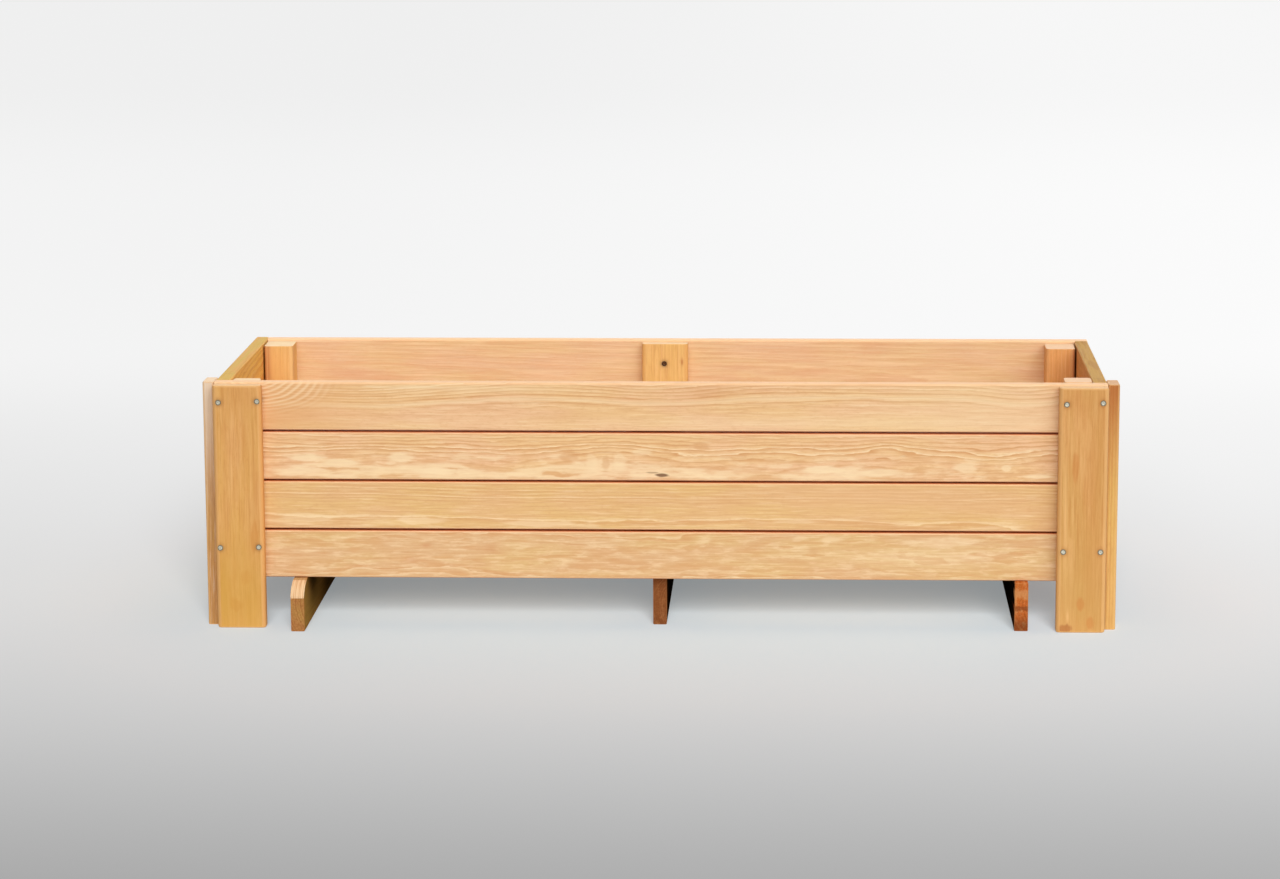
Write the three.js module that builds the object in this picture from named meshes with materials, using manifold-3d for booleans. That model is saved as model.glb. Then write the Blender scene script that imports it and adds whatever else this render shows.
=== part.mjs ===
// A long timber trough planter on three skids. Millimetres, +Z up, +X along the trough.
// The front, with its two upright corner boards, faces -Y.
import * as THREE from 'three';
import { mergeVertices } from 'three/addons/utils/BufferGeometryUtils.js';
import Module from 'manifold-3d';

const wasm = await Module();
wasm.setup();

// ---- overall sizes ----
const LENGTH = 1200; // over the two side trims
const DEPTH = 400; // from the corner boards' faces to the back of the box
const BOX_RISE = 65; // ground to the lowest wall boards, which lie on the bearers
const SEAT = 0.3; // clearance where one piece seats on another

// ---- walls and floor ----
const BOARD_THICKNESS = 18;
const BOARD_WIDTH = 64;
const BOARD_GAP = 2; // open joint between two wall boards
const WALL_BOARDS = 4; // boards in the height of each wall
const BOARD_ARRIS = 2; // radius of the eased edges
const FLOOR_GAP = 5; // drainage gap between two floor boards
const FLOOR_EDGE_GAP = 3; // drainage gap along the front and back walls

// ---- corner boards, side trims, posts and battens ----
const CORNER_BOARD_THICKNESS = 19;
const CORNER_BOARD_WIDTH = 64;
const CORNER_TOP_DROP = 1.5; // the corner boards end this far below the rim
const CORNER_ARRIS = 5;
const TRIM_THICKNESS = 15;
const TRIM_WIDTH = 38;
const TRIM_ARRIS = 2;
const FRONT_POST_WIDTH = 36;
const FRONT_POST_DEPTH = 36;
const FRONT_POST_GAP = 1; // between a post and the side wall
const REAR_POST_WIDTH = 40;
const REAR_POST_DEPTH = 46;
const REAR_POST_GAP = 2;
const POST_TOP_DROP = { front_left: 4, front_right: 0, rear_left: 3, rear_right: 4 }; // below the rim
const POST_ARRIS = 5;
const BATTEN_WIDTH = 64;
const BATTEN_SHIFT = -5; // the battens sit a little left of the middle
const FRONT_BATTEN_TOP_DROP = 8;
const BACK_BATTEN_TOP_DROP = 3;
const BATTEN_ARRIS = 5;

// ---- bearers ----
const BEARER_THICKNESS = 18;
const BEARER_ARRIS = 1.5;
const BEARER_INSET = 109; // from the side wall's face to the middle of an end bearer
const LEFT_BEARER_PROUD = 18; // how far its nose stands in front of the corner boards
const LEFT_NOSE_DROP = 21; // fall of the round sawn on the nose's upper corner
const LEFT_NOSE_SLOPE = 46; // length of that round, measured along the bearer
const NOSE_STEPS = 8; // flats round the nose
const RIGHT_BEARER_SETBACK = 8; // front ends behind the corner boards' faces
const MIDDLE_BEARER_SETBACK = 34;

// ---- screws ----
const HEAD_RADIUS = 3.7;
const SHANK_RADIUS = 1.8;
const HEAD_DEPTH = 2.6; // countersunk cone
const TIP_LENGTH = 4;
const SCREW_SIDES = 12;
const SOCKET_WIDTH = 2.2; // square driver recess
const SOCKET_DEPTH = 1.6;
const HOLE_CLEARANCE = 0.3; // all round a screw
const HOLE_OVERRUN = 2; // a hole's cutter starts this far outside the wood
const FRONT_SCREW_LENGTH = 32;
const TRIM_SCREW_LENGTH = 28;
const BATTEN_SCREW_LENGTH = 30;
const SCREW_FROM_EDGE = 8; // corner board: outer column, from the outer edge
const SCREW_COLUMN_PITCH = 49; // between the two columns of a corner board
const TOP_SCREW_DROP = 22.7; // corner board and trim: top row, below the rim
const LOW_SCREW_RISE = 43.3; // corner board and trim: lower row, above the lowest board's edge
const BOARD_SCREW_RISE = 33; // batten and rear screws, above the lower edge of their board
const BATTEN_SCREW_OFFSET = -1; // from the batten's middle line
const REAR_SCREW_LENGTH = 40;
// How far each corner board screw was driven off its row and column: [along X, up].
const SCREW_WANDER = {
  left_top_outer: [0, -1.5],
  left_top_inner: [2, 0],
  left_low_outer: [-2, 0],
  left_low_inner: [0, 1],
  right_top_outer: [0.5, 1.5],
  right_top_inner: [2.5, -0.5],
  right_low_outer: [0.5, 0],
  right_low_inner: [1, 0],
};

// ---- planes that the pieces share, worked out from the sizes ----
const frontWallFace = CORNER_BOARD_THICKNESS + SEAT;
const frontWallBack = frontWallFace + BOARD_THICKNESS;
const backWallFace = DEPTH - BOARD_THICKNESS;
const sideOuter = LENGTH / 2 - TRIM_THICKNESS - SEAT;
const sideInner = sideOuter - BOARD_THICKNESS;
const wallHeight = WALL_BOARDS * (BOARD_WIDTH + BOARD_GAP) - BOARD_GAP;
const wallBottom = BOX_RISE;
const rim = wallBottom + wallHeight; // 327
const bearerTop = wallBottom - SEAT;
const floorTop = wallBottom + BOARD_THICKNESS;
const battenMiddle = BATTEN_SHIFT;
const rearPostMiddle = sideInner - REAR_POST_GAP - REAR_POST_WIDTH / 2;

// ---- finishes ----
const finish = (color, roughness, metalness = 0) =>
  new THREE.MeshStandardMaterial({ color, roughness, metalness });
const wallWood = finish(0xebc08d, 0.62);
const sideWood = finish(0xe0b468, 0.62);
const cornerWood = finish(0xdda25e, 0.6);
const trimWood = finish(0xd9b78a, 0.62);
const innerWood = finish(0xe6a764, 0.64);
const floorWood = finish(0xc99a63, 0.7);
const bearerWood = finish(0x9c6238, 0.75);
const screwSteel = finish(0xb9b4a8, 0.35, 1);

const planter = new THREE.Group();

/** A solid for the boolean cuts, from a closed three.js geometry. */
function toSolid(geometry) {
  const bare = geometry.clone();
  bare.deleteAttribute('normal');
  bare.deleteAttribute('uv');
  const merged = mergeVertices(bare, 1e-4);
  return new wasm.Manifold(new wasm.Mesh({
    numProp: 3,
    vertProperties: new Float32Array(merged.attributes.position.array),
    triVerts: new Uint32Array(merged.index.array),
  }));
}

/** Back from a solid to a three.js geometry. */
function toGeometry(solid) {
  const { vertProperties, triVerts } = solid.getMesh();
  const geometry = new THREE.BufferGeometry();
  geometry.setAttribute('position', new THREE.BufferAttribute(new Float32Array(vertProperties), 3));
  geometry.setIndex(new THREE.BufferAttribute(new Uint32Array(triVerts), 1));
  geometry.computeVertexNormals();
  return geometry;
}

/** Rectangle with eased corners, centred on the origin. */
function easedRectangle(width, height, arris) {
  const x = width / 2 - arris;
  const y = height / 2 - arris;
  const quarter = Math.PI / 2;
  const shape = new THREE.Shape();
  shape.absarc(x, y, arris, 0, quarter);
  shape.absarc(-x, y, arris, quarter, 2 * quarter);
  shape.absarc(-x, -y, arris, 2 * quarter, 3 * quarter);
  shape.absarc(x, -y, arris, 3 * quarter, 4 * quarter);
  return shape;
}

const axisVector = {
  x: new THREE.Vector3(1, 0, 0),
  y: new THREE.Vector3(0, 1, 0),
  z: new THREE.Vector3(0, 0, 1),
};
const crossAxes = { x: ['y', 'z'], y: ['z', 'x'], z: ['x', 'y'] };
const ARC_STEPS = 3; // three.js makes twice as many flats round each eased edge

/** A planed board between two corners, its four long edges eased, its ends sawn square. */
function board(name, material, low, high, along, arris) {
  const size = new THREE.Vector3().subVectors(high, low);
  const [across, up] = crossAxes[along];
  const profile = easedRectangle(size[across], size[up], arris);
  const geometry = new THREE.ExtrudeGeometry(profile, {
    depth: size[along], bevelEnabled: false, curveSegments: ARC_STEPS,
  });
  geometry.translate(0, 0, -size[along] / 2);
  geometry.applyMatrix4(new THREE.Matrix4().makeBasis(
    axisVector[across], axisVector[up], axisVector[along],
  ));
  const mesh = new THREE.Mesh(geometry, material);
  mesh.name = name;
  mesh.position.addVectors(low, high).multiplyScalar(0.5);
  planter.add(mesh);
  return mesh;
}

const point = (x, y, z) => new THREE.Vector3(x, y, z);

/** Bottom and top of board number i of a wall, counted from the bottom. */
function courseHeights(i) {
  const low = wallBottom + i * (BOARD_WIDTH + BOARD_GAP);
  return [low, low + BOARD_WIDTH];
}

/** One wall: a stack of boards between two plan corners. */
function wall(name, material, [x0, x1], [y0, y1], along) {
  const boards = [];
  for (let i = 0; i < WALL_BOARDS; i += 1) {
    const [low, high] = courseHeights(i);
    const label = `${name}_board_${i + 1}`;
    boards.push(board(label, material, point(x0, y0, low), point(x1, y1, high), along, BOARD_ARRIS));
  }
  return boards;
}

/** Round body about the Z axis: countersunk head at the top, shank and point below. */
function screwBody(length, grow) {
  const stretch = grow > 0 ? HOLE_OVERRUN : 0;
  const headRadius = HEAD_RADIUS + grow;
  const shankRadius = SHANK_RADIUS + grow;
  const profile = [
    new THREE.Vector2(0, -length - grow),
    new THREE.Vector2(shankRadius, -length + TIP_LENGTH),
    new THREE.Vector2(shankRadius, -HEAD_DEPTH - grow),
    new THREE.Vector2(headRadius, -grow),
  ];
  if (stretch > 0) {
    profile.push(new THREE.Vector2(headRadius, stretch));
  }
  profile.push(new THREE.Vector2(0, stretch));
  const geometry = new THREE.LatheGeometry(profile, SCREW_SIDES);
  geometry.rotateX(Math.PI / 2);
  return geometry;
}

/** Turns a body on the Z axis so that its head points along the outward direction. */
function pointed(geometry, outward) {
  const turn = new THREE.Quaternion().setFromUnitVectors(axisVector.z, outward);
  return geometry.applyQuaternion(turn);
}

/** Drills one mesh for a screw whose head lies at the given place. */
function drill(mesh, head, outward, length) {
  const cutter = pointed(screwBody(length, HOLE_CLEARANCE), outward);
  const offset = new THREE.Vector3().subVectors(head, mesh.position);
  cutter.translate(offset.x, offset.y, offset.z);
  mesh.geometry = toGeometry(toSolid(mesh.geometry).subtract(toSolid(cutter)));
}

/** A screw with its square recess, and its hole in every piece that it passes into. */
function screw(name, head, outward, length, pieces) {
  const socket = new THREE.BoxGeometry(SOCKET_WIDTH, SOCKET_WIDTH, 2 * SOCKET_DEPTH);
  const body = toSolid(screwBody(length, 0)).subtract(toSolid(socket));
  const mesh = new THREE.Mesh(pointed(toGeometry(body), outward), screwSteel);
  mesh.name = name;
  mesh.position.copy(head);
  planter.add(mesh);
  for (const piece of pieces) {
    drill(piece, head, outward, length);
  }
}

/** A bearer with a plain front end, lying front to back on its edge. */
function bearer(name, x, front) {
  const half = BEARER_THICKNESS / 2;
  return board(name, bearerWood, point(x - half, front, 0), point(x + half, DEPTH, bearerTop),
    'y', BEARER_ARRIS);
}

/** Saws the upper front corner of the left bearer's nose round, as a quarter of an ellipse. */
function sawNose(mesh, front) {
  const noseHeight = bearerTop - LEFT_NOSE_DROP;
  const outline = new THREE.Shape();
  outline.moveTo(front - HOLE_OVERRUN, noseHeight);
  outline.lineTo(front, noseHeight);
  for (let i = 1; i <= NOSE_STEPS; i += 1) {
    const turn = (i / NOSE_STEPS) * (Math.PI / 2);
    outline.lineTo(front + LEFT_NOSE_SLOPE * (1 - Math.cos(turn)),
      noseHeight + LEFT_NOSE_DROP * Math.sin(turn));
  }
  outline.lineTo(front + LEFT_NOSE_SLOPE, bearerTop + HOLE_OVERRUN);
  outline.lineTo(front - HOLE_OVERRUN, bearerTop + HOLE_OVERRUN);
  const depth = 2 * BEARER_THICKNESS;
  const wedge = new THREE.ExtrudeGeometry(outline, { depth, bevelEnabled: false });
  wedge.translate(0, 0, -depth / 2);
  wedge.applyMatrix4(new THREE.Matrix4().makeBasis(axisVector.y, axisVector.z, axisVector.x));
  wedge.translate(0, -mesh.position.y, -mesh.position.z);
  mesh.geometry = toGeometry(toSolid(mesh.geometry).subtract(toSolid(wedge)));
}

// ---- bearers ----
const leftNose = -LEFT_BEARER_PROUD;
const endBearerX = sideOuter - BEARER_INSET;
sawNose(bearer('bearer_left', -endBearerX, leftNose), leftNose);
bearer('bearer_middle', 0, MIDDLE_BEARER_SETBACK);
bearer('bearer_right', endBearerX, RIGHT_BEARER_SETBACK);

// ---- walls: the front covers both side walls' ends, the back covers the right one's ----
const frontBoards = wall('front', wallWood, [-sideOuter, sideOuter], [frontWallFace, frontWallBack], 'x');
const backBoards = wall('back', wallWood, [SEAT - sideInner, sideOuter], [backWallFace, DEPTH], 'x');
const leftBoards = wall('left', sideWood, [-sideOuter, -sideInner], [frontWallBack + SEAT, DEPTH], 'y');
const rightBoards = wall('right', sideWood, [sideInner, sideOuter],
  [frontWallBack + SEAT, backWallFace - SEAT], 'y');

// ---- floor boards, lengthwise on the bearers, with gaps for drainage ----
const floorFront = frontWallBack + FLOOR_EDGE_GAP;
const floorSpan = backWallFace - FLOOR_EDGE_GAP - floorFront + FLOOR_GAP;
const floorBoards = Math.ceil(floorSpan / (BOARD_WIDTH + FLOOR_GAP));
const floorPitch = floorSpan / floorBoards; // the boards are ripped a little to fill the width
const floorEnd = sideInner - SEAT;
for (let i = 0; i < floorBoards; i += 1) {
  const y = floorFront + i * floorPitch;
  board(`floor_board_${i + 1}`, floorWood, point(-floorEnd, y, wallBottom),
    point(floorEnd, y + floorPitch - FLOOR_GAP, floorTop), 'x', BOARD_ARRIS);
}

// ---- corner posts inside the box, standing on the floor boards ----
const postFoot = floorTop + SEAT;
const posts = {};
const postPlaces = [
  ['front', FRONT_POST_WIDTH, FRONT_POST_GAP, frontWallBack + SEAT,
    frontWallBack + SEAT + FRONT_POST_DEPTH],
  ['rear', REAR_POST_WIDTH, REAR_POST_GAP, backWallFace - SEAT - REAR_POST_DEPTH, backWallFace - SEAT],
];
for (const [side, sign] of [['left', -1], ['right', 1]]) {
  for (const [end, width, gap, y0, y1] of postPlaces) {
    const outer = sideInner - gap;
    const [x0, x1] = [sign * (outer - width), sign * outer].sort((a, b) => a - b);
    const top = rim - POST_TOP_DROP[`${end}_${side}`];
    const name = `post_${end}_${side}`;
    posts[name] = board(name, innerWood, point(x0, y0, postFoot), point(x1, y1, top), 'z', POST_ARRIS);
  }
}

// ---- centre battens that tie the wall boards together ----
const battenBackFace = backWallFace - SEAT - BOARD_THICKNESS;
const battenEdges = [battenMiddle - BATTEN_WIDTH / 2, battenMiddle + BATTEN_WIDTH / 2];
const battens = {
  front: board('batten_front', innerWood, point(battenEdges[0], frontWallBack + SEAT, postFoot),
    point(battenEdges[1], frontWallBack + SEAT + BOARD_THICKNESS, rim - FRONT_BATTEN_TOP_DROP),
    'z', BATTEN_ARRIS),
  back: board('batten_back', innerWood, point(battenEdges[0], battenBackFace, postFoot),
    point(battenEdges[1], battenBackFace + BOARD_THICKNESS, rim - BACK_BATTEN_TOP_DROP),
    'z', BATTEN_ARRIS),
};

// ---- corner boards on the front and trims over the front boards' ends ----
const screwRows = [
  ['top', rim - TOP_SCREW_DROP, WALL_BOARDS - 1],
  ['low', wallBottom + LOW_SCREW_RISE, 0],
];
const towardsFront = point(0, -1, 0);
for (const [side, sign] of [['left', -1], ['right', 1]]) {
  const cornerEdges = [sign * (sideOuter - CORNER_BOARD_WIDTH), sign * sideOuter].sort((a, b) => a - b);
  const cornerBoard = board(`corner_board_${side}`, cornerWood, point(cornerEdges[0], 0, 0),
    point(cornerEdges[1], CORNER_BOARD_THICKNESS, rim - CORNER_TOP_DROP), 'z', CORNER_ARRIS);
  const trimEdges = [sign * (sideOuter + SEAT), sign * LENGTH / 2].sort((a, b) => a - b);
  const trim = board(`side_trim_${side}`, trimWood, point(trimEdges[0], frontWallFace, 0),
    point(trimEdges[1], frontWallFace + TRIM_WIDTH, rim), 'z', TRIM_ARRIS);
  const sideBoards = sign < 0 ? leftBoards : rightBoards;
  for (const [row, z, course] of screwRows) {
    for (const column of [0, 1]) {
      const x = sign * (sideOuter - SCREW_FROM_EDGE - column * SCREW_COLUMN_PITCH);
      const label = `${side}_${row}_${column === 0 ? 'outer' : 'inner'}`;
      const [along, up] = SCREW_WANDER[label];
      screw(`screw_corner_${label}`, point(x + along, 0, z + up), towardsFront, FRONT_SCREW_LENGTH,
        [cornerBoard, frontBoards[course]]);
    }
    const behindFrontBoard = (frontWallBack + SEAT + frontWallFace + TRIM_WIDTH) / 2;
    screw(`screw_trim_${side}_${row}`, point(sign * LENGTH / 2, behindFrontBoard, z), point(sign, 0, 0),
      TRIM_SCREW_LENGTH, [trim, sideBoards[course]]);
  }
}

// ---- screws through the back batten, and from behind into the rear posts ----
const towardsBack = point(0, 1, 0);
for (let i = 0; i < WALL_BOARDS; i += 1) {
  const z = courseHeights(i)[0] + BOARD_SCREW_RISE;
  screw(`screw_batten_${i + 1}`, point(battenMiddle + BATTEN_SCREW_OFFSET, battenBackFace, z), towardsFront,
    BATTEN_SCREW_LENGTH, [battens.back, backBoards[i]]);
  for (const [side, sign] of [['left', -1], ['right', 1]]) {
    const x = sign * rearPostMiddle;
    screw(`screw_rear_${side}_${i + 1}`, point(x, DEPTH, z), towardsBack, REAR_SCREW_LENGTH,
      [backBoards[i], posts[`post_rear_${side}`]]);
  }
}

// The origin is on the ground under the middle of the whole planter, nose of the left bearer included.
planter.position.y = (LEFT_BEARER_PROUD - DEPTH) / 2;

export default planter;
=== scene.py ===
# The looks of a long timber trough planter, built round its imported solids.
# Metres, +Z up, the front faces -Y. Sizes written with MM are millimetres on the real planter.
import math
import random

import bmesh
import bpy
from mathutils import Matrix, Vector


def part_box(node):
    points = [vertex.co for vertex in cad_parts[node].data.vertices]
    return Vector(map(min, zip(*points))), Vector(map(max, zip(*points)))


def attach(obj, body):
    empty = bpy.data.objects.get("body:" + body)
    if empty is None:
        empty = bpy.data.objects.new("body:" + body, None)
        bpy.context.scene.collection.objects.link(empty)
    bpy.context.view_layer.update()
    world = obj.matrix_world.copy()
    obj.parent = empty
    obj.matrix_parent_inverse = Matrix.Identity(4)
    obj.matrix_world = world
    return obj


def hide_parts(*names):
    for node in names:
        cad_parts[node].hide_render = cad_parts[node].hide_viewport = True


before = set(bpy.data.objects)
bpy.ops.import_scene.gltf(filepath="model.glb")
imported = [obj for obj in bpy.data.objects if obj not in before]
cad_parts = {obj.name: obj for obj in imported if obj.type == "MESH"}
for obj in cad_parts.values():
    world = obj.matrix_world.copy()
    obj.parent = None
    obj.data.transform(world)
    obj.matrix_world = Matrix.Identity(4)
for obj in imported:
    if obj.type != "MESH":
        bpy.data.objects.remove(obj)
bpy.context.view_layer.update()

MM = 0.001
X, Y, Z = 0, 1, 2

# ---- the photograph's camera, worked out from the planter's edges ----
FRAME_WIDTH = 1280  # pixels
CAMERA_PLACE = (189.7 * MM, -4887.2 * MM, 1131.9 * MM)
CAMERA_TURN = math.radians(2.553)  # towards -X
CAMERA_DIP = math.radians(10.858)  # below the horizon
CAMERA_ROLL = math.radians(-0.248)
FOCAL_PIXELS = 3664.7
SENSOR_WIDTH = 36.0
SHIFT_X = -3.3 / FRAME_WIDTH
SHIFT_Y = 19.35 / FRAME_WIDTH

# ---- sizes of the worked edges ----
WALL_ARRIS = 2.4 * MM
CORNER_ARRIS = 5.0 * MM
TRIM_ARRIS = 2.5 * MM
POST_ARRIS = 5.0 * MM
BEARER_ARRIS = 1.5 * MM
SAWN_END = 0.7 * MM  # easing left by sandpaper on a sawn end
CORNER_END = 2.5 * MM
TRIM_END = 1.2 * MM
ARRIS_STEPS = 4  # flats across an eased edge
END_STEPS = 2

# ---- screws ----
HEAD_RADIUS = 3.7 * MM
HEAD_INNER_RADIUS = 2.5 * MM
SHANK_RADIUS = 1.8 * MM
HEAD_DEPTH = 2.6 * MM
HEAD_RIM = 0.35 * MM  # the head's rim, from its cone to its top
TIP_LENGTH = 4.0 * MM
SOCKET_WIDTH = 2.2 * MM
SOCKET_DEPTH = 1.6 * MM
HOLE_CLEARANCE = 0.3 * MM
HOLE_OVERRUN = 2.0 * MM
SCREW_SHADE_HALF = 5.0  # half size of the painted shade round a screw, in millimetres
SCREW_SHADE_SHARE = 0.85
TURN_STEPS = 24  # sides of a round body
WELD = 0.001 * MM  # points nearer than this are one


# ---------------------------------------------------------------- finishes


def colour(red, green, blue):
    """A colour from its 0 to 255 screen values, as the linear values that a shader takes."""
    linear = []
    for value in (red, green, blue):
        share = value / 255
        linear.append(share / 12.92 if share <= 0.04045 else ((share + 0.055) / 1.055) ** 2.4)
    return (*linear, 1.0)


class Wire:
    """A socket that can stand in a sum: each operator adds its Math node."""

    def __init__(self, finish, socket):
        self.finish = finish
        self.socket = socket

    def __add__(self, other):
        return self.finish.math("ADD", self, other)

    def __radd__(self, other):
        return self.finish.math("ADD", other, self)

    def __sub__(self, other):
        return self.finish.math("SUBTRACT", self, other)

    def __rsub__(self, other):
        return self.finish.math("SUBTRACT", other, self)

    def __mul__(self, other):
        return self.finish.math("MULTIPLY", self, other)

    def __rmul__(self, other):
        return self.finish.math("MULTIPLY", other, self)

    def __truediv__(self, other):
        return self.finish.math("DIVIDE", self, other)

    def __rtruediv__(self, other):
        return self.finish.math("DIVIDE", other, self)

    def __abs__(self):
        return self.finish.math("ABSOLUTE", self)


class Finish:
    """One material while its nodes are being wired."""

    def __init__(self, name):
        self.material = bpy.data.materials.new(name)
        self.material.use_nodes = True
        self.tree = self.material.node_tree
        self.tree.nodes.clear()

    def node(self, kind, settings, values, output=0):
        """Adds a node: its settings first, then its sockets. Gives back the named output, or several."""
        made = self.tree.nodes.new(kind)
        for setting, value in settings.items():
            setattr(made, setting, value)
        for key, value in values.items():
            if isinstance(value, Wire):
                self.tree.links.new(value.socket, made.inputs[key])
            else:
                made.inputs[key].default_value = value
        if isinstance(output, tuple):
            return [Wire(self, made.outputs[key]) for key in output]
        return Wire(self, made.outputs[output]) if len(made.outputs) else None

    def math(self, operation, *values):
        return self.node("ShaderNodeMath", {"operation": operation}, dict(enumerate(values)))

    def ramp(self, value, low, high):
        """0 below low, 1 above high, and a smooth rise between them."""
        return self.node("ShaderNodeMapRange", {"interpolation_type": "SMOOTHSTEP"},
                         {"Value": value, "From Min": low, "From Max": high})

    def mix(self, share, first, second):
        """A colour between two others."""
        return self.node("ShaderNodeMix", {"data_type": "RGBA", "clamp_factor": True},
                         {0: share, 6: first, 7: second}, 2)

    def noise(self, place, stretch, shift, detail, roughness=0.5):
        """Noise whose lumps are stretch metres long on each axis."""
        scaled = self.node("ShaderNodeVectorMath", {"operation": "MULTIPLY_ADD"},
                           {0: place, 1: [1 / length for length in stretch], 2: shift})
        return self.node("ShaderNodeTexNoise", {},
                         {"Vector": scaled, "Scale": 1.0, "Detail": detail, "Roughness": roughness})

    def surface(self, sockets, settings):
        """Ends the material: sockets that vary, and numbers set on the shader itself."""
        shader = self.node("ShaderNodeBsdfPrincipled", {}, {**sockets, **settings})
        self.node("ShaderNodeOutputMaterial", {}, {"Surface": shader})
        return self.material


# The colours of each kind of timber in the planter: late is the dark part of a ring, cream the pale
# part, blush and gold the slow change along a board, and the groove shade a painted shade on the faces
# that look into the groove between two boards.
TINTS = {
    "wall": dict(
        base=colour(240, 197, 147), late=colour(215, 154, 98), cream=colour(252, 224, 180),
        blush=colour(241, 190, 150), gold=colour(238, 195, 134), fibre=colour(212, 152, 102),
        edge=colour(250, 203, 155), end=colour(205, 150, 96), knot=colour(132, 96, 66),
        spot=colour(203, 126, 74), joint=colour(194, 82, 8),
    ),
    "side": dict(
        base=colour(224, 168, 96), late=colour(200, 132, 62), cream=colour(240, 196, 126),
        blush=colour(226, 158, 98), gold=colour(228, 176, 92), fibre=colour(188, 118, 58),
        edge=colour(240, 194, 122), end=colour(190, 132, 72), knot=colour(112, 70, 40),
        spot=colour(176, 100, 48), joint=colour(178, 78, 10),
    ),
    "corner": dict(
        base=colour(223, 165, 97), late=colour(205, 139, 70), cream=colour(237, 187, 121),
        blush=colour(222, 160, 100), gold=colour(222, 170, 88), fibre=colour(193, 127, 66),
        edge=colour(233, 180, 116), end=colour(236, 196, 146), knot=colour(150, 86, 50),
        spot=colour(205, 128, 60),
    ),
    "inner": dict(
        base=colour(234, 172, 104), late=colour(214, 138, 72), cream=colour(244, 198, 140),
        blush=colour(230, 158, 108), gold=colour(236, 180, 100), fibre=colour(204, 128, 72),
        edge=colour(244, 196, 136), end=colour(214, 158, 98), knot=colour(120, 70, 40),
        spot=colour(188, 106, 60),
    ),
    "bearer": dict(
        base=colour(176, 110, 64), late=colour(138, 76, 40), cream=colour(206, 146, 92),
        blush=colour(168, 98, 62), gold=colour(184, 122, 66), fibre=colour(110, 58, 32),
        edge=colour(188, 124, 76), end=colour(168, 104, 60), knot=colour(70, 38, 24),
        spot=colour(104, 54, 30),
    ),
}


PLAIN_SHARE = 0.55  # how far the plain colour covers the change from blush to gold
GLINT_SHARE = 0.34
GRIT_SHARE = 0.25
EDGE_SHARE = 0.5
RELIEF_STRENGTH = 0.35
RELIEF_DEPTH = 0.35 * MM

# What a board's grain holds. Places are millimetres from its middle, along and across its face.
#   pith      the log's centre, across and through the board; taper is how fast it leaves the board
#   spacing   from one ring to the next; waver is how far rings stray: slowly, quickly, finely
#   contrast, cream, streaks, end, top, shine, nose   strength of one part of the look
#   tints     colours in place of the kind's own
#   joints  strength of the painted shade in a groove, on the lower and upper edge
#   fade      rings faint up to here, clear from here, and how faint
#   mottle    (share, full below, none above, length and height of a patch)
#   swells    (lift, along, across, half length, half height)
#   bands     (tint, distance from the pith, half width, share)
#   marks     (tint, share, sharp, along, across, half length, half height)
#   fans      (tint, share, along, across, squash, nearest, furthest, step)
#   curves    (tint, share, along, half width, bend), on the upper edge
#   rings     (sense, share, along, across, half length, half height), a painted shade round a screw
#   shaded_flank  (sense, share) of a painted shade on the side that faces that way


def hump(finish, along, across, centre_along, centre_across, half_along, half_across):
    """1 at a place on the board's face, falling smoothly to nothing around it."""
    far = (along - centre_along) / half_along
    high = (across - centre_across) / half_across
    return finish.math("EXPONENT", (far * far + high * high) * -1.0)


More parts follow.
